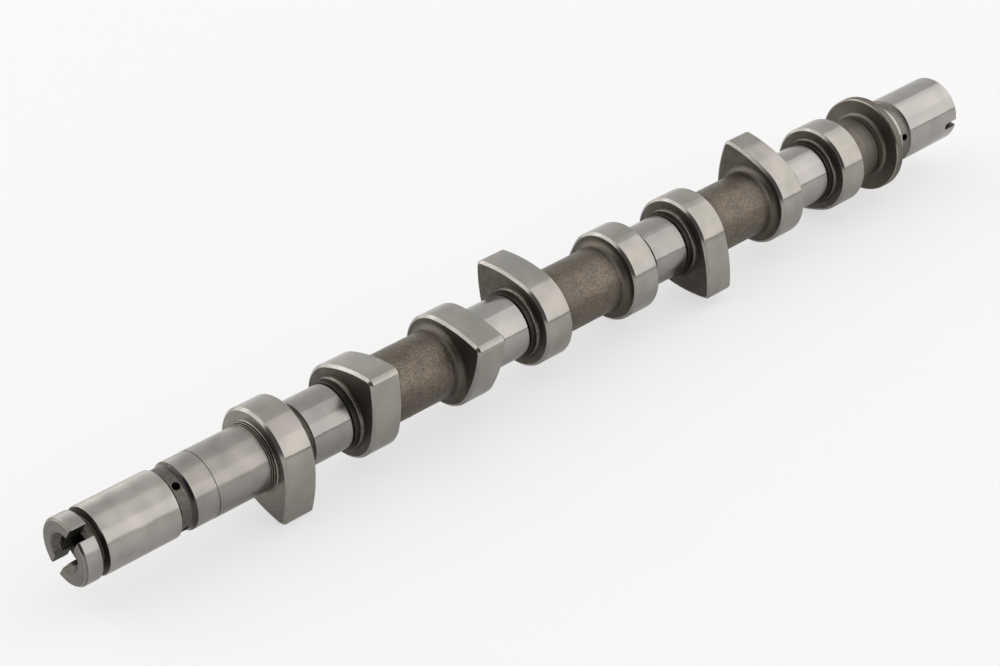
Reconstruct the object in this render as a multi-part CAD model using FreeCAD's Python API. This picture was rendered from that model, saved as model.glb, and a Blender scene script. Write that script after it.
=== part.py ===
import FreeCAD, Part
import math
import os

# Camshaft of a small four-cylinder engine: one iron casting, turned and ground where it runs.
# It carries two cams for each cylinder. One end drives through a slotted head, the other holds a sprocket.
# +X runs along the axis from the slotted end, and +Z is up, with the shaft lying as it comes to rest.
# The origin is on the axis, in the middle of the front journal. Angles turn about +X from +Y towards +Z.

# Engine layout: the cylinders fire 1-3-4-2, so their cams are a quarter turn apart
cylinder_pitch = 85.0
cylinder_turns = (0.0, -90.0, 90.0, 180.0)
cam_separation_angle = 106.5
first_nose_angle = 239.5

# Cams
base_circle_diameter = 36.0
first_cam_height = 44.0
second_cam_height = 44.6
nose_radius = 3.0
flank_radius = 59.0
cam_width = 13.3
cam_spacing = 38.5
cam_edge_chamfer = 1.0
cam_root = 1.2

# Bearings
journal_diameter = 25.0
inner_journal_length = 18.0
journal_chamfer = 0.4
undercut_width = 0.7
undercut_depth = 0.3

# Shaft between the bearings
cast_diameter = 26.2
shoulder_diameter = 26.0

# Slotted drive end
head_length = 6.4
head_diameter = 24.9
head_chamfer_length = 1.2
head_chamfer_rise = 0.9
neck_length = 2.8
neck_diameter = 18.0
drive_slot_width = 4.6
drive_slot_angle = 127.0
centre_bore_diameter = 10.5
centre_bore_depth = 46.0
countersink_diameter = 13.8
countersink_depth = 1.5
drill_point_angle = 118.0

# Front bearing with its oil groove
front_journal_length = 28.6
oil_groove_width = 6.6
oil_groove_diameter = 23.0
oil_groove_ramp = 1.0
oil_hole_diameter = 3.0
front_land_length = 32.6
front_land_diameter = 25.2
witness_line_offset = 8.8
witness_line_width = 0.4
witness_line_depth = 0.2

# Thrust collar and rear neck
rear_neck_length = 18.55
rear_groove_offset = 3.75
rear_groove_width = 0.9
rear_groove_depth = 0.5
collar_diameter = 40.1
collar_thickness = 4.0
collar_chamfer = 0.5
collar_fillet = 1.5

# Sprocket end
far_journal_diameter = 28.0
far_journal_length = 31.6
far_land_length = 7.4
far_oil_groove_width = 5.65
far_oil_groove_diameter = 25.2
far_oil_hole_angle = 169.0
far_end_chamfer = 0.8
thread_core_diameter = 10.2
thread_hole_depth = 41.0
thread_mouth_diameter = 12.6
keyway_width = 3.0
keyway_length = 8.0
keyway_depth = 3.0
keyway_angle = 188.0

# Stations along the axis, from the slotted face
neck_end = head_length + neck_length
oil_groove_start = neck_end + front_journal_length
oil_groove_end = oil_groove_start + oil_groove_width
first_cam_start = oil_groove_end + front_land_length
last_cam_start = first_cam_start + 3 * cylinder_pitch + cam_spacing
collar_start = last_cam_start + cam_width + rear_neck_length
collar_end = collar_start + collar_thickness
far_groove_start = collar_end + far_land_length
far_groove_end = far_groove_start + far_oil_groove_width
far_end = far_groove_end + far_journal_length
origin_station = neck_end + front_journal_length / 2

overlap = 1.0


def revolved(points):
    """Solid of revolution about the axis from (station, radius) corners."""
    corners = [FreeCAD.Vector(station, 0, radius) for station, radius in points]
    outline = Part.makePolygon(corners + corners[:1])
    return Part.Face(outline).revolve(FreeCAD.Vector(), FreeCAD.Vector(1, 0, 0), 360)


def turned(start, end, diameter, chamfer=0.0):
    """Turned cylinder with the same chamfer at both ends."""
    radius = diameter / 2
    if chamfer == 0.0:
        return revolved([(start, 0), (start, radius), (end, radius), (end, 0)])
    return revolved([
        (start, 0), (start, radius - chamfer), (start + chamfer, radius),
        (end - chamfer, radius), (end, radius - chamfer), (end, 0)])


def ring_cut(start, end, diameter, depth):
    """Ring that cuts a square groove into a shaft of this diameter."""
    floor = diameter / 2 - depth
    rim = diameter / 2 + overlap
    return revolved([(start, floor), (start, rim), (end, rim), (end, floor)])


def cast_root(face, diameter, side):
    """Short cone that thickens a shaft towards a cam; side is -1 before the cam and +1 behind it."""
    shaft = diameter / 2
    return revolved([
        (face - side * overlap, shaft - overlap), (face - side * overlap, shaft + cam_root),
        (face, shaft + cam_root), (face + side * cam_root, shaft), (face + side * cam_root, shaft - overlap)])


def collar_root():
    """Concave fillet between the rear neck and the thrust collar."""
    neck = shoulder_diameter / 2
    toe = FreeCAD.Vector(collar_start - collar_fillet, 0, neck)
    top = FreeCAD.Vector(collar_start, 0, neck + collar_fillet)
    sag = collar_fillet * (1 - math.sqrt(0.5))
    middle = FreeCAD.Vector(collar_start - sag, 0, neck + sag)
    inside = [
        top,
        FreeCAD.Vector(collar_start + overlap, 0, neck + collar_fillet),
        FreeCAD.Vector(collar_start + overlap, 0, neck - overlap),
        FreeCAD.Vector(toe.x, 0, neck - overlap),
        toe]
    edges = [Part.makeLine(a, b) for a, b in zip(inside, inside[1:])]
    edges.append(Part.Arc(toe, middle, top).toShape())
    outline = Part.Face(Part.Wire(edges))
    return outline.revolve(FreeCAD.Vector(), FreeCAD.Vector(1, 0, 0), 360)


def polar(centre, radius, angle):
    """Point in the plane across the axis, at this angle and radius from a centre."""
    return FreeCAD.Vector(0, centre[0] + radius * math.cos(angle), centre[1] + radius * math.sin(angle))


def cam_profile(height):
    """Closed wire of four tangent arcs: base circle, two flanks and the nose on +Y."""
    base_radius = base_circle_diameter / 2
    nose_reach = height - base_radius - nose_radius
    from_base = flank_radius - base_radius
    from_nose = flank_radius - nose_radius
    flank_y = (from_base ** 2 - from_nose ** 2 + nose_reach ** 2) / (2 * nose_reach)
    flank_z = -math.sqrt(from_base ** 2 - flank_y ** 2)
    base_angle = math.atan2(-flank_z, -flank_y)
    nose_angle = math.atan2(-flank_z, nose_reach - flank_y)
    middle_angle = (base_angle + nose_angle) / 2
    nose = (nose_reach, 0)
    base_top = polar((0, 0), base_radius, base_angle)
    nose_top = polar(nose, nose_radius, nose_angle)
    flank_top = polar((flank_y, flank_z), flank_radius, middle_angle)
    mirrored = [FreeCAD.Vector(0, p.y, -p.z) for p in (base_top, nose_top, flank_top)]
    base_bottom, nose_bottom, flank_bottom = mirrored
    arcs = [
        Part.Arc(base_top, polar((0, 0), base_radius, math.pi), base_bottom),
        Part.Arc(base_bottom, flank_bottom, nose_bottom),
        Part.Arc(nose_bottom, polar(nose, nose_radius, 0), nose_top),
        Part.Arc(nose_top, flank_top, base_top)]
    return Part.Wire([arc.toShape() for arc in arcs])


def cam(start, height, angle):
    """One cam with chamfered rims, its nose turned to this angle."""
    blank = Part.Face(cam_profile(height)).extrude(FreeCAD.Vector(cam_width, 0, 0))
    rims = [edge for edge in blank.Edges if edge.BoundBox.XLength < 1e-6]
    lobe = blank.makeChamfer(cam_edge_chamfer, rims)
    lobe.rotate(FreeCAD.Vector(), FreeCAD.Vector(1, 0, 0), angle)
    lobe.translate(FreeCAD.Vector(start, 0, 0))
    return lobe


def front_end():
    """Slotted head, its neck, and the front bearing as far as the first cam."""
    head = head_diameter / 2
    oil_floor = oil_groove_diameter / 2
    return [
        revolved([
            (0, 0), (0, head - head_chamfer_rise), (head_chamfer_length, head),
            (head_length, head), (head_length, 0)]),
        turned(head_length - overlap, neck_end + overlap, neck_diameter),
        turned(neck_end, oil_groove_start, journal_diameter, journal_chamfer),
        turned(oil_groove_start - overlap, oil_groove_end + overlap, oil_groove_diameter),
        revolved([
            (oil_groove_end - oil_groove_ramp, oil_floor - overlap),
            (oil_groove_end - oil_groove_ramp, oil_floor),
            (oil_groove_end, journal_diameter / 2),
            (oil_groove_end, oil_floor - overlap)]),
        turned(oil_groove_end, oil_groove_end + witness_line_offset, journal_diameter),
        turned(oil_groove_end + witness_line_offset, first_cam_start + overlap, front_land_diameter),
        cast_root(first_cam_start, front_land_diameter, -1)]


def cylinder_section(index):
    """Two cams with the inner journal and its shoulders between them."""
    start = first_cam_start + index * cylinder_pitch
    gap_start = start + cam_width
    gap_end = start + cam_spacing
    middle = (gap_start + gap_end) / 2
    journal_start = middle - inner_journal_length / 2
    journal_end = middle + inner_journal_length / 2
    angle = first_nose_angle + cylinder_turns[index]
    return [
        cam(start, first_cam_height, angle),
        turned(gap_start - overlap, journal_start, shoulder_diameter),
        cast_root(gap_start, shoulder_diameter, 1),
        turned(journal_start - overlap, journal_start + undercut_width + overlap,
               journal_diameter - 2 * undercut_depth),
        turned(journal_start + undercut_width, journal_end - undercut_width, journal_diameter),
        turned(journal_end - undercut_width - overlap, journal_end + overlap,
               journal_diameter - 2 * undercut_depth),
        turned(journal_end, gap_end + overlap, shoulder_diameter),
        cast_root(gap_end, shoulder_diameter, -1),
        cam(gap_end, second_cam_height, angle - cam_separation_angle)]


def cast_section(index):
    """Rough shaft between one cylinder's second cam and the next cylinder's first."""
    start = first_cam_start + index * cylinder_pitch + cam_spacing + cam_width
    end = first_cam_start + (index + 1) * cylinder_pitch
    return [
        turned(start - overlap, end + overlap, cast_diameter),
        cast_root(start, cast_diameter, 1),
        cast_root(end, cast_diameter, -1)]


def rear_end():
    """Rear neck, thrust collar, and the far bearing with its oil groove."""
    neck_start = last_cam_start + cam_width
    return [
        turned(neck_start - overlap, collar_start + overlap, shoulder_diameter),
        cast_root(neck_start, shoulder_diameter, 1),
        collar_root(),
        turned(collar_start, collar_end, collar_diameter, collar_chamfer),
        turned(collar_end - overlap, far_groove_start, far_journal_diameter),
        turned(far_groove_start - overlap, far_groove_end + overlap, far_oil_groove_diameter),
        turned(far_groove_end, far_end, far_journal_diameter, far_end_chamfer)]


def drilled(start, depth, diameter, mouth_diameter, mouth_depth, direction):
    """Blind centre hole with a countersunk mouth and a drill point."""
    radius = diameter / 2
    point = radius / math.tan(math.radians(drill_point_angle / 2))
    corners = [
        (-overlap, 0), (-overlap, mouth_diameter / 2), (0, mouth_diameter / 2),
        (mouth_depth, radius), (depth, radius), (depth + point, 0)]
    return revolved([(start + direction * station, height) for station, height in corners])


def radial_hole(station, angle):
    """Oil hole from the groove floor into the centre hole."""
    hole = Part.makeCylinder(
        oil_hole_diameter / 2, journal_diameter, FreeCAD.Vector(station, 0, 0), FreeCAD.Vector(0, 1, 0))
    hole.rotate(FreeCAD.Vector(), FreeCAD.Vector(1, 0, 0), angle)
    return hole


def drive_slot():
    """Slot across the head, down to the neck."""
    slot = Part.makeBox(
        head_length + overlap, 2 * head_diameter, drive_slot_width,
        FreeCAD.Vector(-overlap, -head_diameter, -drive_slot_width / 2))
    slot.rotate(FreeCAD.Vector(), FreeCAD.Vector(1, 0, 0), drive_slot_angle)
    return slot


def keyway():
    """Round-ended keyway open at the far face."""
    floor = far_journal_diameter / 2 - keyway_depth
    end_station = far_end - keyway_length + keyway_width / 2
    slot = Part.makeBox(
        far_end - end_station + overlap, keyway_depth + overlap, keyway_width,
        FreeCAD.Vector(end_station, floor, -keyway_width / 2))
    end = Part.makeCylinder(
        keyway_width / 2, keyway_depth + overlap, FreeCAD.Vector(end_station, floor, 0),
        FreeCAD.Vector(0, 1, 0))
    cutter = slot.fuse(end)
    cutter.rotate(FreeCAD.Vector(), FreeCAD.Vector(1, 0, 0), keyway_angle)
    return cutter


def camshaft():
    """The whole shaft, fused and then cut, with its origin moved to the front journal."""
    solids = front_end() + rear_end()
    for index in range(len(cylinder_turns)):
        solids += cylinder_section(index)
    for index in range(len(cylinder_turns) - 1):
        solids += cast_section(index)
    body = solids[0].fuse(solids[1:])
    line_start = oil_groove_end + witness_line_offset
    rear_line_end = collar_start - rear_groove_offset + rear_groove_width / 2
    cutters = [
        ring_cut(line_start, line_start + witness_line_width, front_land_diameter, witness_line_depth),
        ring_cut(rear_line_end - rear_groove_width, rear_line_end, shoulder_diameter, rear_groove_depth),
        drilled(0, centre_bore_depth, centre_bore_diameter, countersink_diameter, countersink_depth, 1),
        drilled(far_end, thread_hole_depth, thread_core_diameter, thread_mouth_diameter,
                (thread_mouth_diameter - thread_core_diameter) / 2, -1),
        radial_hole((oil_groove_start + oil_groove_end - oil_groove_ramp) / 2, drive_slot_angle),
        radial_hole((far_groove_start + far_groove_end) / 2, far_oil_hole_angle),
        drive_slot(),
        keyway()]
    body = body.cut(cutters).removeSplitter()
    body.translate(FreeCAD.Vector(-origin_station, 0, 0))
    return body.Solids[0] if len(body.Solids) == 1 else body


os.makedirs("parts", exist_ok=True)
shaft = camshaft()
print("camshaft", shaft.isValid(), len(shaft.Solids), shaft.BoundBox, round(shaft.Volume))
shaft.exportStep("parts/camshaft.step")
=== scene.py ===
import bmesh
import bpy
import math
from mathutils import Matrix, Vector, noise


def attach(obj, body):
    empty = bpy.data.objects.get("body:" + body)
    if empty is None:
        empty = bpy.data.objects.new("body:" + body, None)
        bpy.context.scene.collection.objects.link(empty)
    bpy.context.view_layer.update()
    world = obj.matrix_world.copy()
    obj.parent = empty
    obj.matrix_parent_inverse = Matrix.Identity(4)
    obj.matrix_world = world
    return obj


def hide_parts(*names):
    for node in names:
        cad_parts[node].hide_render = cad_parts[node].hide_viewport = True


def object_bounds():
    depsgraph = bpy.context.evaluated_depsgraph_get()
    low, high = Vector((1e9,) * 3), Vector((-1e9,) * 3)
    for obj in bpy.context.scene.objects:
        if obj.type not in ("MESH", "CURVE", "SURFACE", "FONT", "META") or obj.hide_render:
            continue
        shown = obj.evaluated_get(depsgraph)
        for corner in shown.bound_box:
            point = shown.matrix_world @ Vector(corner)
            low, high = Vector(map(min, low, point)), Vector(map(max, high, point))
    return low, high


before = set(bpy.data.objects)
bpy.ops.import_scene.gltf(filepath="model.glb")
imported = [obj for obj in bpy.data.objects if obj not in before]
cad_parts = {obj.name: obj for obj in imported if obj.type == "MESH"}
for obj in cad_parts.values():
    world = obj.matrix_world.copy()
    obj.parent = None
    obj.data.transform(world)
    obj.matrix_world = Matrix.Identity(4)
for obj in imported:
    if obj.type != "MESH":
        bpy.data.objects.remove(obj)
cad_low, cad_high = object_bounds()

# Front bearing. The slotted end of the shaft: a short neck, the front journal, its oil groove and a
# ground land up to the first cam. Chilled iron, turned and cylindrically ground, hollow in the middle.
# A station is the distance in millimetres from the slotted end, and radii are about the shaft's axis.

origin_station = 23.5
head_end = 6.4
neck_radius = 9.0
journal_start = 9.2
journal_radius = 12.5
groove_start = 37.8
undercut_end = 38.4
ramp_start = 43.6
groove_end = 44.4
groove_radius = 11.5
undercut_radius = 11.2
line_start = 53.3
line_radius = 12.4
land_radius = 12.6
land_end = 75.0
first_cam_station = 77.0
inside_cam = 1.0  # how far a turned piece reaches into the cam beside it
below_side = 0.03  # how far below the cam's side its fillet starts
bore_radius = 5.25
bore_end = 46.0
bore_tip = 49.15
oil_hole_diameter = 3.0
front_oil_station = 40.6
front_oil_angles = (127.0, 217.0)
upright = 90.0  # the angle at which a cutter is made, pointing straight up


def colour(code):
    """Linear colour with alpha from an sRGB hex code."""
    parts = [int(code[i:i + 2], 16) / 255 for i in (0, 2, 4)]
    return [c / 12.92 if c <= 0.04045 else ((c + 0.055) / 1.055) ** 2.4 for c in parts] + [1.0]


def add_node(tree, kind, inputs=(), **settings):
    """New node with its settings. An input is a socket's name or number, and a value or an output."""
    node = tree.nodes.new(kind)
    for name, value in settings.items():
        setattr(node, name, value)
    for socket, value in inputs:
        if isinstance(value, bpy.types.NodeSocket):
            tree.links.new(value, node.inputs[socket])
        else:
            node.inputs[socket].default_value = value
    return node


def new_material(name):
    """New material and its node tree, still empty."""
    material = bpy.data.materials.new(name)
    material.use_nodes = True
    material.node_tree.nodes.clear()
    return material, material.node_tree


def ground_iron(name, tone, second_tone, smooth, dull, spread, ring_mm, waviness_mm):
    """Chilled iron off a cylindrical grinder: bright, with fine rings about the axis.

    The rings spread a reflection along the shaft and leave it sharp across. Those of a 60 grit wheel are
    about 0.1 mm apart; they are drawn 0.4 mm apart so that they show, ring_mm high, and change every 17 mm
    of their way round. The surface is also uneven by waviness_mm over some 8 mm, which bends the edges of
    what it reflects."""
    material, tree = new_material(name)
    place = add_node(tree, "ShaderNodeTexCoord").outputs["Object"]
    ring_place = add_node(tree, "ShaderNodeMapping", [
        ("Vector", place), ("Scale", (1000 / 0.4, 60.0, 60.0))]).outputs[0]
    rings = add_node(tree, "ShaderNodeTexNoise", [
        ("Vector", ring_place), ("Scale", 1.0), ("Detail", 2.0), ("Roughness", 0.5)]).outputs["Fac"]
    clouds = add_node(tree, "ShaderNodeTexNoise", [
        ("Vector", place), ("Scale", 1000 / 8.0), ("Detail", 1.0), ("Roughness", 0.3)]).outputs["Fac"]
    clouds_wide = add_node(tree, "ShaderNodeMapRange", [
        ("Value", clouds), ("From Min", 0.35), ("From Max", 0.65)]).outputs[0]
    tint = add_node(tree, "ShaderNodeMix", [
        ("Factor", clouds_wide), (6, colour(tone)), (7, colour(second_tone))], data_type="RGBA").outputs[2]
    polish = add_node(tree, "ShaderNodeMapRange", [
        ("Value", rings), ("From Min", 0.3), ("From Max", 0.7),
        ("To Min", smooth), ("To Max", dull)]).outputs[0]
    uneven = add_node(tree, "ShaderNodeMath", [
        (0, rings), (1, ring_mm / waviness_mm), (2, clouds)], operation="MULTIPLY_ADD").outputs[0]
    relief = add_node(tree, "ShaderNodeBump", [
        ("Height", uneven), ("Strength", 1.0), ("Distance", waviness_mm / 1000)]).outputs[0]
    around = add_node(tree, "ShaderNodeTangent", direction_type="RADIAL", axis="X").outputs[0]
    shader = add_node(tree, "ShaderNodeBsdfPrincipled", [
        ("Base Color", tint), ("Metallic", 1.0), ("Roughness", polish), ("Normal", relief),
        ("Anisotropic", spread), ("Anisotropic Rotation", 0.25), ("Tangent", around)])
    add_node(tree, "ShaderNodeOutputMaterial", [("Surface", shader.outputs[0])])
    return material


def faced_iron(name, tone, second_tone, smooth, dull, ring_mm):
    """Iron turned or faced on a lathe: satin, with the tool's rings a quarter of a millimetre apart.

    They are drawn 0.7 mm apart, which is 1400 to a metre, so that they show, ring_mm high, lighter and
    darker by turns. Clouds of some 6 mm break them up."""
    material, tree = new_material(name)
    place = add_node(tree, "ShaderNodeTexCoord").outputs["Object"]
    across = add_node(tree, "ShaderNodeVectorMath", [
        (0, place), (1, (0.0, 1.0, 1.0))], operation="MULTIPLY").outputs[0]
    radius = add_node(tree, "ShaderNodeVectorMath", [(0, across)], operation="LENGTH").outputs["Value"]
    along = add_node(tree, "ShaderNodeSeparateXYZ", [("Vector", place)]).outputs["X"]
    path = add_node(tree, "ShaderNodeMath", [(0, radius), (1, along)], operation="ADD").outputs[0]
    marks = add_node(tree, "ShaderNodeTexNoise", [
        ("W", path), ("Scale", 1400.0), ("Detail", 2.0), ("Roughness", 0.5)],
        noise_dimensions="1D").outputs["Fac"]
    clouds = add_node(tree, "ShaderNodeTexNoise", [
        ("Vector", place), ("Scale", 1000 / 6.25), ("Detail", 3.0), ("Roughness", 0.5)]).outputs["Fac"]
    both = add_node(tree, "ShaderNodeMath", [(0, marks), (1, clouds)], operation="ADD").outputs[0]
    share = add_node(tree, "ShaderNodeMapRange", [
        ("Value", both), ("From Min", 0.75), ("From Max", 1.25)]).outputs[0]
    tint = add_node(tree, "ShaderNodeMix", [
        ("Factor", share), (6, colour(tone)), (7, colour(second_tone))], data_type="RGBA").outputs[2]
    polish = add_node(tree, "ShaderNodeMapRange", [
        ("Value", marks), ("From Min", 0.3), ("From Max", 0.7),
        ("To Min", smooth), ("To Max", dull)]).outputs[0]
    relief = add_node(tree, "ShaderNodeBump", [
        ("Height", marks), ("Strength", 1.0), ("Distance", ring_mm / 1000)]).outputs[0]
    shader = add_node(tree, "ShaderNodeBsdfPrincipled", [
        ("Base Color", tint), ("Metallic", 1.0), ("Roughness", polish), ("Normal", relief)])
    add_node(tree, "ShaderNodeOutputMaterial", [("Surface", shader.outputs[0])])
    return material


def dark_skin(name, tone, second_tone, smooth, dull, grain_mm, relief_mm):
    """Iron left as hardened or rough-turned: a thin dark scale with a low satin gloss and brownish clouds.

    grain_mm is the size of the clouds and relief_mm the height of the unevenness in them."""
    material, tree = new_material(name)
    place = add_node(tree, "ShaderNodeTexCoord").outputs["Object"]
    clouds = add_node(tree, "ShaderNodeTexNoise", [
        ("Vector", place), ("Scale", 1000 / grain_mm), ("Detail", 4.0), ("Roughness", 0.6)]).outputs["Fac"]
    clouds_wide = add_node(tree, "ShaderNodeMapRange", [
        ("Value", clouds), ("From Min", 0.3), ("From Max", 0.7)]).outputs[0]
    tint = add_node(tree, "ShaderNodeMix", [
        ("Factor", clouds_wide), (6, colour(tone)), (7, colour(second_tone))], data_type="RGBA").outputs[2]
    polish = add_node(tree, "ShaderNodeMapRange", [
        ("Value", clouds), ("From Min", 0.3), ("From Max", 0.7),
        ("To Min", smooth), ("To Max", dull)]).outputs[0]
    relief = add_node(tree, "ShaderNodeBump", [
        ("Height", clouds), ("Strength", 1.0), ("Distance", relief_mm / 1000)]).outputs[0]
    shader = add_node(tree, "ShaderNodeBsdfPrincipled", [
        ("Base Color", tint), ("Metallic", 1.0), ("Roughness", polish), ("Normal", relief)])
    add_node(tree, "ShaderNodeOutputMaterial", [("Surface", shader.outputs[0])])
    return material


# The front journal has a plain grind: satin grey, with soft-edged light bands in it.
front_finish = ground_iron(
    "plain_ground_iron", "ACA7A2", "9D9A95",
    smooth=0.25, dull=0.255, spread=0.45, ring_mm=0.0002, waviness_mm=0.4)
# The land has the same grind and is worn a little darker.
land_finish = ground_iron(
    "worn_land_iron", "9E9994", "918E89",
    smooth=0.25, dull=0.255, spread=0.45, ring_mm=0.0002, waviness_mm=0.4)
# Hardening leaves a scale that is dark brown-grey and nearly dull.
scale_finish = dark_skin(
    "hardening_scale_on_iron", "68645C", "5A5650", smooth=0.42, dull=0.52, grain_mm=3.0, relief_mm=0.01)
# A fine-turned root shows light satin rings.
root_finish = faced_iron("turned_root_iron", "98948D", "7A766F", smooth=0.16, dull=0.26, ring_mm=0.03)
# The floor of the groove is turned and never ground: dull grey with a short grain.
groove_finish = dark_skin(
    "turned_groove_iron", "6E6B65", "56534D", smooth=0.42, dull=0.56, grain_mm=0.9, relief_mm=0.02)
# The groove's ramp is smooth, so that it mirrors the room, and coloured dark: painted shade in the groove.
groove_ramp_painted_shade = dark_skin(
    "groove_ramp_iron_painted_shade", "4E4B46", "454240", smooth=0.20, dull=0.28, grain_mm=2.0, relief_mm=0.005)


def at(station):
    """Place along X in metres; the part's origin is in the middle of the front journal."""
    return (station - origin_station) / 1000


def about_x(degrees):
    """Turn about X, which is the direction of the shaft's axis."""
    return Matrix.Rotation(math.radians(degrees), 3, "X")


def turn(outline, closed=False, steps=160):
    """Turned shape: the outline spun about the shaft's axis.

    Each corner is (station, radius), and may add a rounding in millimetres and its number of segments."""
    shape = bmesh.new()
    corners = [shape.verts.new((at(station), 0, radius / 1000)) for station, radius, *_ in outline]
    ends = corners[1:] + corners[:1] if closed else corners[1:]
    for one, other in zip(corners, ends):
        shape.edges.new((one, other))
    for corner, (_, _, *rounding) in zip(corners, outline):
        if rounding:
            size, segments = rounding
            bmesh.ops.bevel(
                shape, geom=[corner], offset=size / 1000, affect="VERTICES",
                segments=segments, profile=0.5, material=-1)
    bmesh.ops.spin(
        shape, geom=shape.verts[:] + shape.edges[:], cent=(0, 0, 0), axis=(1, 0, 0),
        angle=math.tau, steps=steps, use_merge=True)
    bmesh.ops.remove_doubles(shape, verts=shape.verts, dist=1e-6)
    bmesh.ops.recalc_face_normals(shape, faces=shape.faces)
    return shape


def assign(shape, finishes, finish, start, end, low, high):
    """Gives one of the piece's finishes to the faces whose middle lies between these stations and radii."""
    for face in shape.faces:
        middle = face.calc_center_median()
        if at(start) <= middle.x <= at(end) and low <= math.hypot(middle.y, middle.z) * 1000 <= high:
            face.material_index = finishes.index(finish)


sharp_corner = math.radians(38)


def shaft_piece(name, shape, finishes, cutters=()):
    """Makes the mesh a piece of the shaft: holes cut, corners sharp, and standing for the CAD solid."""
    mesh = bpy.data.meshes.new(name)
    shape.to_mesh(mesh)
    shape.free()
    for finish in finishes:
        mesh.materials.append(finish)
    piece = bpy.data.objects.new(name, mesh)
    bpy.context.collection.objects.link(piece)
    for number, cutter in enumerate(cutters):
        tool = bpy.data.objects.new(f"{name}_cutter_{number}", cutter)
        bpy.context.collection.objects.link(tool)
        cut = piece.modifiers.new("cut", "BOOLEAN")
        cut.object = tool
        cut.solver = "EXACT"
        bpy.context.view_layer.update()
        cut_piece = piece.evaluated_get(bpy.context.evaluated_depsgraph_get())
        cut_mesh = bpy.data.meshes.new_from_object(cut_piece)
        piece.modifiers.remove(cut)
        piece.data = cut_mesh
        cut_mesh.name = name
        bpy.data.objects.remove(tool)
    finished = bmesh.new()
    finished.from_mesh(piece.data)
    for face in finished.faces:
        face.smooth = True
    for edge in finished.edges:
        edge.smooth = edge.calc_face_angle(0.0) < sharp_corner
    finished.to_mesh(piece.data)
    finished.free()
    shading = piece.modifiers.new("shading", "WEIGHTED_NORMAL")
    shading.keep_sharp = True
    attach(piece, "root")
    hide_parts("camshaft")


def cutter_mesh(tool):
    """Mesh of a cutting tool. What it cuts shows the piece's second finish, which is the scale."""
    for face in tool.faces:
        face.material_index = 1
    mesh = bpy.data.meshes.new("cutter")
    tool.to_mesh(mesh)
    tool.free()
    mesh.materials.append(scale_finish)
    mesh.materials.append(scale_finish)
    return mesh


def oil_hole(station, angle):
    """Cutter for an oil hole at this station and angle, from outside its journal to inside the bore."""
    radius = oil_hole_diameter / 2000
    inner, outer = 4.0, 16.0
    tool = bmesh.new()
    bmesh.ops.create_cone(
        tool, cap_ends=True, segments=40, radius1=radius, radius2=radius, depth=(outer - inner) / 1000)
    bmesh.ops.translate(tool, verts=tool.verts, vec=(0, 0, (outer + inner) / 2000))
    bmesh.ops.rotate(tool, verts=tool.verts, cent=(0, 0, 0), matrix=about_x(angle - upright))
    bmesh.ops.translate(tool, verts=tool.verts, vec=(at(station), 0, 0))
    return cutter_mesh(tool)


bore_outline = [(bore_tip, 0.0), (bore_end, bore_radius), (head_end, bore_radius)]
journal_outline = [
    (head_end, neck_radius), (journal_start, neck_radius, 0.4, 3),
    (journal_start, journal_radius, 0.35, 2), (groove_start, journal_radius, 0.2, 2)]
groove_outline = [
    (groove_start, undercut_radius), (undercut_end, undercut_radius), (undercut_end + 0.2, groove_radius),
    (ramp_start, groove_radius, 1.5, 6), (groove_end, journal_radius, 0.12, 2)]
land_outline = [
    (line_start, journal_radius), (line_start + 0.03, line_radius), (line_start + 0.2, line_radius),
    (line_start + 0.23, land_radius), (land_end, land_radius, 0.1, 2)]
# Three rings, each higher than the one before, between narrow grooves
root_ring_outline = [
    (75.02, 12.1), (75.3, 12.1), (75.32, 12.75, 0.1, 2), (75.62, 12.75, 0.1, 2),
    (75.65, 12.3), (75.95, 12.3), (75.97, 13.1, 0.1, 2), (76.27, 13.15, 0.1, 2),
    (76.3, 12.8), (76.6, 12.8), (76.62, 13.5, 0.1, 2), (76.85, 13.6, 0.1, 2)]
hidden_end_outline = [
    (first_cam_station + below_side, 13.7), (first_cam_station + below_side, 13.9),
    (first_cam_station + inside_cam, 13.9), (first_cam_station + inside_cam, 0.0)]
front_shape = turn(
    bore_outline + journal_outline + groove_outline + land_outline + root_ring_outline + hidden_end_outline)
front_finishes = [front_finish, scale_finish, groove_finish, root_finish, groove_ramp_painted_shade, land_finish]
for finish, start, end, low, high in (
        (scale_finish, head_end - 0.4, journal_start + 0.1, 0.0, 12.1),  # neck
        (scale_finish, journal_start - 0.2, 50.0, 0.0, 6.0),  # bore
        (groove_finish, groove_start - 0.1, groove_end - 0.1, 10.0, 12.35),  # oil groove
        # its ramp, coloured dark as painted shade
        (groove_ramp_painted_shade, ramp_start - 1.0, groove_end - 0.02, groove_radius + 0.05, 12.4),  # its ramp
        (land_finish, groove_end, land_end, 12.4, 12.7),  # land
        (scale_finish, line_start, line_start + 0.22, 12.0, 12.45),  # turned line
        (root_finish, land_end + 0.01, 78.5, 0.0, 15.0),  # root at the first cam
        (scale_finish, 75.01, 75.33, 12.0, 12.9),  # and three narrow grooves in it
        (scale_finish, 75.65, 75.97, 12.0, 12.9),
        (scale_finish, 76.29, 76.61, 12.0, 12.9)):
    assign(front_shape, front_finishes, finish, start, end, low, high)
shaft_piece(
    "front_bearing", front_shape, front_finishes,
    [oil_hole(front_oil_station, angle) for angle in front_oil_angles])

# Drive head. The slotted disc on the neck, which turns an accessory through a cross slot. Turned iron
# with a chamfered rim and a countersunk centre; the slot is milled through it down to the neck.

head_radius = 12.45
chamfer_depth = 0.85
chamfer_height = 0.7
countersink_depth = 2.0
countersink_radius = 7.4
countersink_floor_radius = 5.7
thread_radius = 5.55
thread_start = 2.2
thread_pitch = 1.0
slot_width = 4.6
slot_angle = 127.0
slot_rounding = 0.12
# Fine turning on the head's rim: satin, with rings that show as light lines.
head_finish = ground_iron(
    "turned_iron", "A19D99", "8F8C88", smooth=0.24, dull=0.30, spread=0.6, ring_mm=0.004, waviness_mm=0.15)
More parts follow.
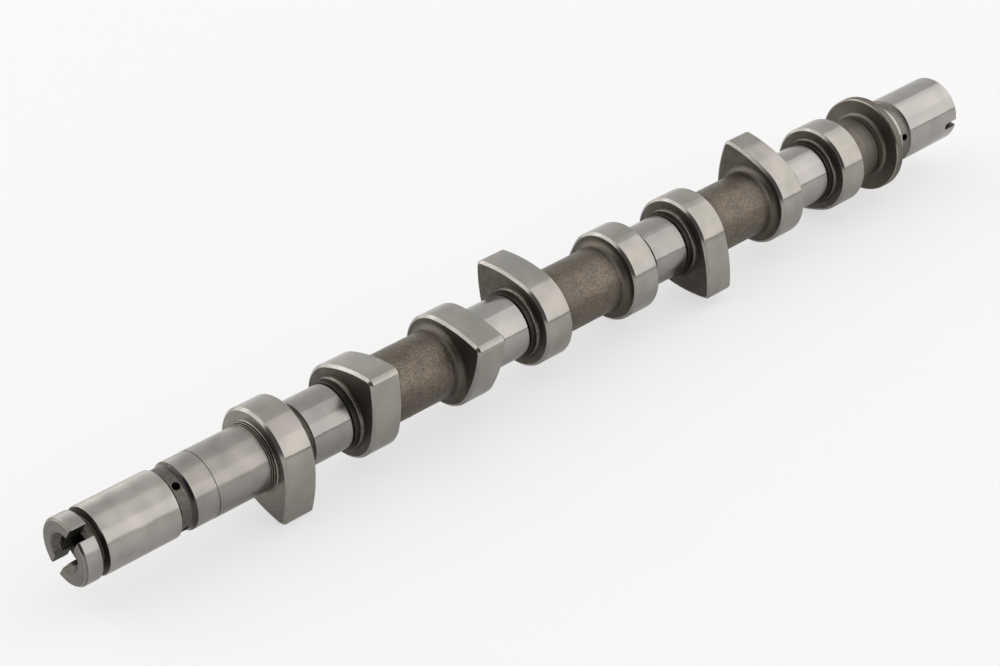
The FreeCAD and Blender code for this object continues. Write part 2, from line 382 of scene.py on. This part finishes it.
# The end is faced: dull grey, with faint rings about the centre.
faced_finish = faced_iron("faced_iron", "76736E", "6A6762", smooth=0.26, dull=0.34, ring_mm=0.012)
# The chamfer is smoother and as grey, so that it takes a light line only where it faces a lamp.
chamfer_finish = faced_iron("dull_chamfer_iron", "77736D", "69665F", smooth=0.18, dull=0.26, ring_mm=0.02)
# The milled walls of the slot are rough and coloured dark: painted shade inside the slot.
slot_wall_painted_shade = dark_skin(
    "milled_slot_iron_painted_shade", "4C4A46", "3C3A37", smooth=0.50, dull=0.60, grain_mm=0.6, relief_mm=0.02)

# The thread in the bore, as four turned grooves
thread_groove = ((0.0, bore_radius), (0.4, thread_radius), (0.55, thread_radius), (0.95, bore_radius))
thread = [
    (thread_start + turn_number * thread_pitch + step, radius)
    for turn_number in range(4) for step, radius in thread_groove]
head_shape = turn(
    [(0.0, countersink_radius, 0.5, 4), (countersink_depth, countersink_floor_radius, 0.4, 3)]
    + thread
    + [(head_end, bore_radius), (head_end, head_radius, 0.2, 2), (chamfer_depth, head_radius, 0.15, 2),
       (0.0, head_radius - chamfer_height, 0.15, 2)], closed=True)
across_slot = Vector((0, -math.sin(math.radians(slot_angle)), math.cos(math.radians(slot_angle))))
half_slot = slot_width / 2000
for side in (1, -1):
    bmesh.ops.bisect_plane(
        head_shape, geom=head_shape.verts[:] + head_shape.edges[:] + head_shape.faces[:],
        plane_co=across_slot * side * half_slot, plane_no=across_slot)
in_slot = [
    f for f in head_shape.faces
    if abs(f.calc_center_median().dot(across_slot)) < half_slot - 1e-6]
bmesh.ops.delete(head_shape, geom=in_slot, context="FACES")
walls = bmesh.ops.holes_fill(head_shape, edges=[e for e in head_shape.edges if e.is_boundary])["faces"]
bmesh.ops.recalc_face_normals(head_shape, faces=head_shape.faces)
bmesh.ops.bevel(
    head_shape, geom=[e for e in head_shape.edges if any(f in walls for f in e.link_faces)],
    offset=slot_rounding / 1000, affect="EDGES", segments=2, profile=0.5, material=-1)
head_finishes = [head_finish, faced_finish, chamfer_finish, groove_finish, slot_wall_painted_shade]
assign(head_shape, head_finishes, faced_finish, 0.0, head_end + 0.1, 0.0, 11.65)
assign(head_shape, head_finishes, chamfer_finish, 0.12, 0.74, 11.84, 12.38)
# Countersink and bore, and then the slot's walls
assign(head_shape, head_finishes, groove_finish, 0.05, head_end + 0.1, 0.0, countersink_radius - 0.05)
# The slot's walls get the painted shade
for face in head_shape.faces:
    if abs(face.calc_center_median().dot(across_slot)) < half_slot + 1e-5:
        face.material_index = head_finishes.index(slot_wall_painted_shade)
shaft_piece("drive_head", head_shape, head_finishes)

# Cams. Eight lobes of the same casting, two to a cylinder, each four tangent arcs: base circle, two
# flanks and a nose. The running face is ground bright and its rims are chamfered; the sides keep scale.

base_radius = 18.0
nose_radius = 3.0
flank_radius = 59.0
first_cam_height = 44.0
second_cam_height = 44.6
cam_width = 13.3
cam_spacing = 38.5
cylinder_pitch = 85.0
first_nose_angles = (239.5, 149.5, 329.5, 59.5)
angle_between_cams = 106.5
rim_chamfer = 1.0
arris_rounding = 0.12
# Ground running faces: bright, their light drawn out along the shaft.
cam_finish = ground_iron(
    "ground_cam_face", "A49F99", "999790",
    smooth=0.14, dull=0.20, spread=0.9, ring_mm=0.004, waviness_mm=0.1)
# The sides of the first cam are faced clean: grey rings instead of scale.
first_side_finish = faced_iron("faced_cam_iron", "918E87", "858179", smooth=0.22, dull=0.30, ring_mm=0.012)
# The chamfers are turned smooth: a thin light line round each cam.
rim_finish = faced_iron("turned_chamfer_iron", "A6A29D", "928F8A", smooth=0.15, dull=0.22, ring_mm=0.03)


def cam_shape(start, height, angle):
    """One cam: a point swung about the centre of each arc in turn draws its outline."""
    reach = height - base_radius - nose_radius
    from_base = flank_radius - base_radius
    from_nose = flank_radius - nose_radius
    flank_y = (from_base ** 2 - from_nose ** 2 + reach ** 2) / (2 * reach)
    flank_z = math.sqrt(from_base ** 2 - flank_y ** 2)
    base_turn = math.atan2(flank_z, -flank_y)
    nose_turn = math.atan2(flank_z, reach - flank_y)
    shape = bmesh.new()
    tip = [shape.verts.new((0, base_radius * math.cos(base_turn), base_radius * math.sin(base_turn)))]
    swings = [
        ((0, 0, 0), math.tau - 2 * base_turn, 110), ((0, flank_y, flank_z), base_turn - nose_turn, 24),
        ((0, reach, 0), 2 * nose_turn, 26), ((0, flank_y, -flank_z), base_turn - nose_turn, 24)]
    for centre, swing, steps in swings:
        tip = bmesh.ops.spin(
            shape, geom=tip, cent=centre, axis=(1, 0, 0), angle=swing, steps=steps)["geom_last"]
    bmesh.ops.remove_doubles(shape, verts=shape.verts, dist=1e-3)
    side = bmesh.ops.contextual_create(shape, geom=shape.edges[:])["faces"]
    other = bmesh.ops.extrude_face_region(shape, geom=side, use_keep_orig=True)["geom"]
    bmesh.ops.translate(
        shape, verts=[v for v in other if isinstance(v, bmesh.types.BMVert)], vec=(cam_width, 0, 0))
    bmesh.ops.recalc_face_normals(shape, faces=shape.faces)
    rims = [e for e in shape.edges if any(abs(f.normal.x) > 0.9 for f in e.link_faces)]
    bmesh.ops.bevel(
        shape, geom=rims, offset=rim_chamfer, affect="EDGES", segments=1, profile=0.5, material=-1)
    arrises = [
        e for e in shape.edges if len(e.link_faces) == 2 and e.calc_face_angle() > math.radians(30)]
    bmesh.ops.bevel(
        shape, geom=arrises, offset=arris_rounding, affect="EDGES", segments=2, profile=0.5, material=-1)
    # The sides look along the shaft, the chamfers half so and the running face not at all
    for face in shape.faces:
        slant = abs(face.normal.x)
        face.material_index = 1 if slant > 0.98 else 2 if slant > 0.3 else 0
    bmesh.ops.rotate(shape, verts=shape.verts, cent=(0, 0, 0), matrix=about_x(angle))
    bmesh.ops.translate(shape, verts=shape.verts, vec=(start - origin_station, 0, 0))
    bmesh.ops.scale(shape, verts=shape.verts, vec=(0.001, 0.001, 0.001))
    return shape


for cylinder, nose_angle in enumerate(first_nose_angles):
    first = first_cam_station + cylinder * cylinder_pitch
    side_finish = first_side_finish if cylinder == 0 else scale_finish
    shaft_piece(
        f"cam_{2 * cylinder + 1}", cam_shape(first, first_cam_height, nose_angle),
        [cam_finish, side_finish, rim_finish])
    shaft_piece(
        f"cam_{2 * cylinder + 2}",
        cam_shape(first + cam_spacing, second_cam_height, nose_angle - angle_between_cams),
        [cam_finish, scale_finish, rim_finish])

# Inner journals. One ground bearing between the two cams of each cylinder, with a narrow turned undercut at
# each end and a root that flares into the cam's side. The root is coloured almost black as painted shade,
# and a narrow lighter band on it is a painted highlight line.

running_width = 18.0
root_radius = 13.0
root_fillet = 1.7
root_top = 14.8
narrow_radius = 12.1
# Radii of the painted highlight band on each root fillet
painted_highlight_radii = (13.02, 13.4)
# Finely ground: the brightest metal of the shaft, sharp across and drawn out along it.
journal_finish = ground_iron(
    "ground_chilled_iron", "A6A29E", "9D9B98",
    smooth=0.13, dull=0.18, spread=0.92, ring_mm=0.004, waviness_mm=0.12)
# The journals of the first and third cylinder are worn a little darker and duller.
dull_journal_finish = ground_iron(
    "worn_ground_iron", "9C9894", "93918E",
    smooth=0.15, dull=0.21, spread=0.92, ring_mm=0.004, waviness_mm=0.15)
# A narrow band low on the fillet is coloured lighter than the rest of the root: a painted highlight that
# shows as a thin broken line.
root_band_painted_highlight = dark_skin(
    "root_band_iron_painted_highlight", "78746C", "56534C", smooth=0.18, dull=0.28, grain_mm=1.6, relief_mm=0.04)
# The rest of the root is coloured almost black: painted shade in the corner between journal and cam.
root_painted_shade = dark_skin(
    "root_iron_painted_shade", "4A4741", "3B3934", smooth=0.34, dull=0.44, grain_mm=2.0, relief_mm=0.01)

for cylinder in range(4):
    start = first_cam_station + cylinder * cylinder_pitch + cam_width
    end = first_cam_station + cylinder * cylinder_pitch + cam_spacing
    run = (start + end) / 2 - running_width / 2
    stop = (start + end) / 2 + running_width / 2
    journal_shape = turn([
        (start - inside_cam, 0.0), (start - inside_cam, root_top), (start - below_side, root_top),
        (start - below_side, root_radius, root_fillet, 8), (run + 0.2, root_radius, 0.15, 2),
        (run + 0.25, narrow_radius), (run + 0.75, narrow_radius), (run + 0.8, journal_radius, 0.1, 2),
        (stop - 0.8, journal_radius, 0.1, 2), (stop - 0.75, narrow_radius), (stop - 0.25, narrow_radius),
        (stop - 0.2, root_radius, 0.15, 2), (end + below_side, root_radius, root_fillet, 8),
        (end + below_side, root_top), (end + inside_cam, root_top), (end + inside_cam, 0.0)])
    running_finish = journal_finish if cylinder in (1, 3) else dull_journal_finish
    journal_finishes = [running_finish, scale_finish, root_band_painted_highlight, root_painted_shade]
    for low, high in ((start - 2, run + 0.78), (stop - 0.78, end + 2)):
        # Painted shade over the roots, a painted highlight band on each fillet, and scale in the undercuts
        assign(journal_shape, journal_finishes, root_painted_shade, low, high, 0.0, 15.0)
        assign(journal_shape, journal_finishes, root_band_painted_highlight, low, high, *painted_highlight_radii)
        assign(journal_shape, journal_finishes, scale_finish, low, high, narrow_radius - 0.1, 12.45)
    shaft_piece(f"inner_journal_{cylinder + 1}", journal_shape, journal_finishes)

# Cast shaft. The stretches between cylinders are never machined: sand-cast iron skin, shot-blasted,
# brown-grey, pitted and speckled, flaring a little into the cams on both sides.

skin_radius = 13.1
skin_fillet = 2.8
skin_top = 16.0
skin_relief_mm = 0.06
lumps_per_metre = 900
slice_count = 60
past_fillet = 3.2
first_middle_station = first_cam_station + (cylinder_pitch + cam_spacing + cam_width) / 2
# How far from a stretch's middle the painted shade at its roots begins, and where it is full
shade_start_from_middle = 8.5
shade_full_from_middle = 15.0


def cast_skin(name, tones, dirt_tones, painted_root_shade_tone, smooth, dull, grain_relief_mm):
    """Sand-cast iron skin, shot-blasted: dull brown-grey, with grains that glint where they face a lamp.

    The grain is 0.6 mm, which is 1800 to a metre, and the clouds in it 5 mm. Towards the roots at both ends
    of a stretch the colour goes over to a dark root tone: painted shade where the stretch meets the cams,
    and a painted reflection of the cams' dark sides."""
    material, tree = new_material(name)
    place = add_node(tree, "ShaderNodeTexCoord").outputs["Object"]
    clouds = add_node(tree, "ShaderNodeTexNoise", [
        ("Vector", place), ("Scale", 1000 / 5.0), ("Detail", 4.0), ("Roughness", 0.6)]).outputs["Fac"]
    grain = add_node(tree, "ShaderNodeTexNoise", [
        ("Vector", place), ("Scale", 1800.0), ("Detail", 3.0), ("Roughness", 0.65)]).outputs["Fac"]
    clouds_wide = add_node(tree, "ShaderNodeMapRange", [
        ("Value", clouds), ("From Min", 0.35), ("From Max", 0.65)]).outputs[0]
    grain_wide = add_node(tree, "ShaderNodeMapRange", [
        ("Value", grain), ("From Min", 0.36), ("From Max", 0.66)]).outputs[0]
    skin = add_node(tree, "ShaderNodeMix", [
        ("Factor", clouds_wide), (6, colour(tones[0])), (7, colour(tones[1]))], data_type="RGBA").outputs[2]
    dirt = add_node(tree, "ShaderNodeMix", [
        ("Factor", clouds_wide), (6, colour(dirt_tones[0])), (7, colour(dirt_tones[1]))],
        data_type="RGBA").outputs[2]
    blasted = add_node(tree, "ShaderNodeMix", [
        ("Factor", grain_wide), (6, dirt), (7, skin)], data_type="RGBA").outputs[2]
    along = add_node(tree, "ShaderNodeSeparateXYZ", [("Vector", place)]).outputs["X"]
    past_middle = add_node(tree, "ShaderNodeMath", [
        (0, along), (1, at(first_middle_station))], operation="SUBTRACT").outputs[0]
    from_middle = add_node(tree, "ShaderNodeMath", [
        (0, past_middle), (1, cylinder_pitch / 2000)], operation="PINGPONG").outputs[0]
    # Painted shade and painted reflection: towards both roots the colour goes over to the dark root tone
    painted_root_shade_share = add_node(tree, "ShaderNodeMapRange", [
        ("Value", from_middle), ("From Min", shade_start_from_middle / 1000), ("From Max", shade_full_from_middle / 1000)],
        interpolation_type="SMOOTHSTEP").outputs[0]
    tint = add_node(tree, "ShaderNodeMix", [
        ("Factor", painted_root_shade_share), (6, blasted), (7, colour(painted_root_shade_tone))], data_type="RGBA").outputs[2]
    relief = add_node(tree, "ShaderNodeBump", [
        ("Height", grain), ("Strength", 1.0), ("Distance", grain_relief_mm / 1000)]).outputs[0]
    polish = add_node(tree, "ShaderNodeMapRange", [
        ("Value", grain), ("From Min", 0.3), ("From Max", 0.7),
        ("To Min", dull), ("To Max", smooth)]).outputs[0]
    shader = add_node(tree, "ShaderNodeBsdfPrincipled", [
        ("Base Color", tint), ("Metallic", 1.0), ("Roughness", polish), ("Normal", relief)])
    add_node(tree, "ShaderNodeOutputMaterial", [("Surface", shader.outputs[0])])
    return material


# The root tone is the painted shade at the cams
skin_finish = cast_skin(
    "sand_cast_skin", tones=("857B6D", "746E64"), dirt_tones=("5C554B", "524D46"), painted_root_shade_tone="5F5A52",
    smooth=0.32, dull=0.42, grain_relief_mm=0.09)

for gap in range(3):
    start = first_cam_station + gap * cylinder_pitch + cam_spacing + cam_width
    end = first_cam_station + (gap + 1) * cylinder_pitch
    slices = [
        (start + past_fillet + i * (end - start - 2 * past_fillet) / slice_count, skin_radius)
        for i in range(slice_count + 1)]
    skin_shape = turn(
        [(start - inside_cam, 0.0), (start - inside_cam, skin_top), (start - below_side, skin_top),
         (start - below_side, skin_radius, skin_fillet, 12)]
        + slices
        + [(end + below_side, skin_radius, skin_fillet, 12), (end + below_side, skin_top),
           (end + inside_cam, skin_top), (end + inside_cam, 0.0)], steps=192)
    # Lumps of about a millimetre, with finer grain on them, rise and sink in the skin
    for point in skin_shape.verts:
        if at(start) < point.co.x < at(end):
            lump = noise.fractal(point.co * lumps_per_metre, 0.6, 2.0, 4)
            point.co += point.normal * (skin_relief_mm / 1000) * lump
    shaft_piece(f"cast_shaft_{gap + 1}", skin_shape, [skin_finish])

# Rear neck and thrust collar. Rough-turned neck with a narrow groove, and the collar that holds the
# shaft endwise in its bearing, filleted to the neck and chamfered at its rim.

last_cam_end = first_cam_station + 3 * cylinder_pitch + cam_spacing + cam_width
collar_start = 402.35
collar_end = 406.35
collar_radius = 20.05
collar_chamfer = 0.5
neck_groove_start = 398.15
neck_groove_radius = 12.5
collar_joint = 405.0  # inside the collar, where its piece and the sprocket bearing's overlap
# Rough turning: dull brown-grey, the tool's rings just showing.
collar_finish = faced_iron("rough_turned_iron", "746F67", "67635B", smooth=0.40, dull=0.52, ring_mm=0.012)
collar_shape = turn([
    (last_cam_end - inside_cam, 0.0), (last_cam_end - inside_cam, 14.2), (last_cam_end - below_side, 14.2),
    (last_cam_end - below_side, root_radius, 1.15, 5), (neck_groove_start, root_radius),
    (neck_groove_start + 0.05, neck_groove_radius), (neck_groove_start + 0.85, neck_groove_radius),
    (neck_groove_start + 0.9, root_radius), (collar_start, root_radius, 1.5, 6),
    (collar_start, collar_radius, collar_chamfer, 1), (collar_end, collar_radius, collar_chamfer, 1),
    (collar_end, root_radius), (collar_joint + 0.5, 12.0), (collar_joint + 0.5, 0.0)])
collar_finishes = [collar_finish, root_finish]
# The chamfers of its rim are turned finer
assign(collar_shape, collar_finishes, root_finish, collar_start - 0.05, collar_end + 0.05, 19.56, 20.0)
shaft_piece("thrust_collar", collar_shape, collar_finishes)

# Sprocket bearing. The far journal with its oil groove, and with a keyway and a bore for the timing
# sprocket and its bolt. Ground bright; the groove and the bore are left as turned.

far_radius = 14.0
far_groove_start = 413.75
far_groove_end = 419.4
far_groove_radius = 12.6
far_ramp_start = 418.5
far_end = 451.0
far_bore_radius = 5.1
far_bore_mouth = 6.3
far_bore_end = 410.0
far_bore_tip = 406.94
far_oil_station = 416.6
far_oil_angle = 169.0
keyway_width = 3.0
keyway_floor = 11.0
keyway_centre = 444.5
keyway_angle = 188.0
keyway_run_out = 12.0
keyway_clear_height = 6.0
# The far groove is turned coarsely: mottled, light where the tool tore the grain.
far_groove_finish = dark_skin(
    "rough_groove_iron", "8B8882", "625F59", smooth=0.40, dull=0.56, grain_mm=0.7, relief_mm=0.04)
far_shape = turn([
    (collar_joint, 0.0), (collar_joint, far_radius), (far_groove_start, far_radius, 0.25, 2),
    (far_groove_start, far_groove_radius), (far_ramp_start, far_groove_radius, 1.2, 5),
    (far_groove_end, far_radius, 0.15, 2), (far_end, far_radius, 0.8, 1), (far_end, far_bore_mouth),
    (far_end - 1.2, far_bore_radius), (far_bore_end, far_bore_radius), (far_bore_tip, 0.0)])
far_finishes = [journal_finish, scale_finish, far_groove_finish]
assign(
    far_shape, far_finishes, far_groove_finish, far_groove_start - 0.05, far_groove_end - 0.02, 12.0, 13.85)
assign(far_shape, far_finishes, scale_finish, 406.0, far_end - 0.05, 0.0, far_bore_mouth - 0.05)


def key_cutter():
    """Cutter for the round-ended keyway: a circle stretched out past the end of the shaft."""
    tool = bmesh.new()
    disc = bmesh.ops.create_circle(tool, cap_ends=True, segments=32, radius=keyway_width / 2)["verts"]
    bmesh.ops.translate(tool, verts=[v for v in disc if v.co.x > 0.01], vec=(keyway_run_out, 0, 0))
    upward = bmesh.ops.extrude_face_region(tool, geom=tool.faces[:], use_keep_orig=True)["geom"]
    bmesh.ops.translate(
        tool, verts=[v for v in upward if isinstance(v, bmesh.types.BMVert)],
        vec=(0, 0, keyway_clear_height))
    bmesh.ops.recalc_face_normals(tool, faces=tool.faces)
    bmesh.ops.translate(tool, verts=tool.verts, vec=(keyway_centre - origin_station, 0, keyway_floor))
    bmesh.ops.rotate(tool, verts=tool.verts, cent=(0, 0, 0), matrix=about_x(keyway_angle - upright))
    bmesh.ops.scale(tool, verts=tool.verts, vec=(0.001, 0.001, 0.001))
    return cutter_mesh(tool)


shaft_piece(
    "sprocket_bearing", far_shape, far_finishes, [oil_hole(far_oil_station, far_oil_angle), key_cutter()])

# Studio. The shaft lies on a plain white floor among large soft lamps, in front of it, overhead and
# behind, which the ground iron mirrors as broad light bands between greyer ones.

floor_height = cad_low.z
seen_glow = 0.6
mirrored_glow = 0.1
# White paper is matt. A share of it is a glow of its own: 0.6 as the camera sees it, so that it stays
# near white, and 0.1 as the shaft mirrors it.
paper, paper_tree = new_material("white_paper")
paper_shader = add_node(paper_tree, "ShaderNodeBsdfPrincipled", [
    ("Base Color", colour("ECECEC")), ("Roughness", 0.9), ("Specular IOR Level", 0.0)])
paper_glow = add_node(paper_tree, "ShaderNodeEmission", [("Strength", 1.0)])
ray = add_node(paper_tree, "ShaderNodeLightPath").outputs
mirrored = add_node(paper_tree, "ShaderNodeMath", [
    (0, ray["Is Glossy Ray"]), (1, ray["Is Transmission Ray"])], operation="ADD").outputs[0]
mirrored_share = add_node(paper_tree, "ShaderNodeMath", [
    (0, mirrored), (1, mirrored_glow)], operation="MULTIPLY").outputs[0]
glow_share = add_node(paper_tree, "ShaderNodeMath", [
    (0, ray["Is Camera Ray"]), (1, seen_glow), (2, mirrored_share)], operation="MULTIPLY_ADD").outputs[0]
paper_mix = add_node(paper_tree, "ShaderNodeMixShader", [
    (0, glow_share), (1, paper_shader.outputs[0]), (2, paper_glow.outputs[0])])
add_node(paper_tree, "ShaderNodeOutputMaterial", [("Surface", paper_mix.outputs[0])])
floor_shape = bmesh.new()
bmesh.ops.create_grid(floor_shape, x_segments=1, y_segments=1, size=6.0)
bmesh.ops.translate(floor_shape, verts=floor_shape.verts, vec=(0, 0, floor_height))
floor_mesh = bpy.data.meshes.new("floor")
floor_shape.to_mesh(floor_mesh)
floor_shape.free()
floor_mesh.materials.append(paper)
floor = bpy.data.objects.new("floor", floor_mesh)
bpy.context.collection.objects.link(floor)

# The room is light grey all round, with one darker corner behind the camera, to its left.
dark_corner = (-0.82, -0.51, 0.26)
room_light = (0.8, 0.8, 0.8, 1.0)
corner_light = (0.15, 0.15, 0.15, 1.0)
world = bpy.data.worlds.new("studio")
bpy.context.scene.world = world
world.use_nodes = True
world_tree = world.node_tree
world_tree.nodes.clear()
direction = add_node(world_tree, "ShaderNodeTexCoord").outputs["Generated"]
to_dark_side = add_node(world_tree, "ShaderNodeVectorMath", [
    (0, direction), (1, dark_corner)], operation="DOT_PRODUCT").outputs["Value"]
dark_share = add_node(world_tree, "ShaderNodeMapRange", [
    ("Value", to_dark_side), ("From Min", 0.62), ("From Max", 0.85)],
    interpolation_type="SMOOTHSTEP").outputs[0]
room = add_node(world_tree, "ShaderNodeMix", [
    ("Factor", dark_share), (6, room_light), (7, corner_light)], data_type="RGBA").outputs[2]
sky = add_node(world_tree, "ShaderNodeBackground", [("Color", room), ("Strength", 1.0)])
add_node(world_tree, "ShaderNodeOutputWorld", [("Surface", sky.outputs[0])])


def soft_lamp(name, size_x, size_y, place, turned, near_radiance, far_radiance):
    """Rectangular soft lamp, whose face goes from one radiance to the other along its length."""
    lamp = bpy.data.lights.new(name, "AREA")
    lamp.shape = "RECTANGLE"
    lamp.size = size_x
    lamp.size_y = size_y
    lamp.energy = math.pi * size_x * size_y
    lamp.color = (1.0, 0.97, 0.94)
    lamp.use_nodes = True
    lamp.node_tree.nodes.clear()
    face_place = add_node(lamp.node_tree, "ShaderNodeNewGeometry").outputs["Parametric"]
    along = add_node(lamp.node_tree, "ShaderNodeSeparateXYZ", [("Vector", face_place)]).outputs["X"]
    radiance = add_node(lamp.node_tree, "ShaderNodeMapRange", [
        ("Value", along), ("From Min", 0.17), ("From Max", 0.53),
        ("To Min", near_radiance), ("To Max", far_radiance)]).outputs[0]
    glow = add_node(lamp.node_tree, "ShaderNodeEmission", [("Strength", radiance)])
    add_node(lamp.node_tree, "ShaderNodeOutputLight", [("Surface", glow.outputs[0])])
    holder = bpy.data.objects.new(name, lamp)
    holder.matrix_world = Matrix.Translation(place) @ turned.to_4x4()
    bpy.context.collection.objects.link(holder)


# The overhead and the front lamp meet in an edge at lamp_reach in front of the shaft and above it. The
# overhead one ends overhead_edge behind the shaft's axis, and the front one foot_below under it.
lamp_reach = 2.0
lamp_length = 4.5
lamp_middle = 2.45
overhead_edge = 0.115
foot_below = 0.02
soft_lamp(
    "overhead_lamp", lamp_length, lamp_reach + overhead_edge,
    (lamp_middle, (overhead_edge - lamp_reach) / 2, lamp_reach), about_x(0),
    near_radiance=0.3, far_radiance=1.0)
soft_lamp(
    "overhead_back_lamp", 2.6, 0.7, (3.4, 0.4075, lamp_reach), about_x(0),
    near_radiance=0.8, far_radiance=0.8)
soft_lamp(
    "front_lamp", lamp_length, lamp_reach + foot_below,
    (lamp_middle, -lamp_reach, (lamp_reach - foot_below) / 2), about_x(90),
    near_radiance=0.9, far_radiance=0.8)
side_place = Vector((-1.16, 1.12, 1.18))
soft_lamp(
    "side_lamp", 2.2, 1.9, side_place, side_place.to_track_quat("Z", "Y").to_matrix(),
    near_radiance=0.8, far_radiance=0.8)
soft_lamp(
    "back_lamp", 2.2, 1.9, (-0.1, lamp_reach, 0.95), about_x(-90), near_radiance=0.8, far_radiance=0.8)

# A low strip of dark cloth before the front lamp's foot, which the shaft mirrors as a thin darker line.
frame_length = 4.6
frame_width = 0.10
frame_gap = 0.02
frame_shape = bmesh.new()
bmesh.ops.create_grid(frame_shape, x_segments=1, y_segments=1, size=0.5)
bmesh.ops.scale(frame_shape, verts=frame_shape.verts, vec=(frame_length, frame_width, 1.0))
bmesh.ops.rotate(frame_shape, verts=frame_shape.verts, cent=(0, 0, 0), matrix=about_x(90))
bmesh.ops.translate(
    frame_shape, verts=frame_shape.verts,
    vec=(lamp_middle, frame_gap - lamp_reach, floor_height + frame_width / 2))
frame_mesh = bpy.data.meshes.new("lamp_frame")
frame_shape.to_mesh(frame_mesh)
frame_shape.free()
black_cloth = bpy.data.materials.new("black_cloth")
black_cloth.use_nodes = True
cloth_shader = black_cloth.node_tree.nodes["Principled BSDF"]
cloth_shader.inputs["Base Color"].default_value = colour("555555")
cloth_shader.inputs["Roughness"].default_value = 1.0
frame_mesh.materials.append(black_cloth)
lamp_frame = bpy.data.objects.new("lamp_frame", frame_mesh)
bpy.context.collection.objects.link(lamp_frame)
lamp_frame.visible_camera = False
lamp_frame.visible_shadow = False

# The camera stands where the photograph was taken from; its three directions are unit vectors.
camera_data = bpy.data.cameras.new("camera")
camera_data.lens = 83.36
camera_data.sensor_width = 36.0
camera_data.clip_start = 0.01
camera = bpy.data.objects.new("camera", camera_data)
camera_place = (-0.32652, -0.54393, 0.43421)
right = Vector((0.72434, -0.68855, -0.03505))
up = Vector((0.37299, 0.34861, 0.85986))
back = Vector((-0.57984, -0.63590, 0.50933))
camera.matrix_world = Matrix.Translation(camera_place) @ Matrix((right, up, back)).transposed().to_4x4()
bpy.context.collection.objects.link(camera)
bpy.context.scene.camera = camera

bpy.context.scene.view_settings.view_transform = "Standard"
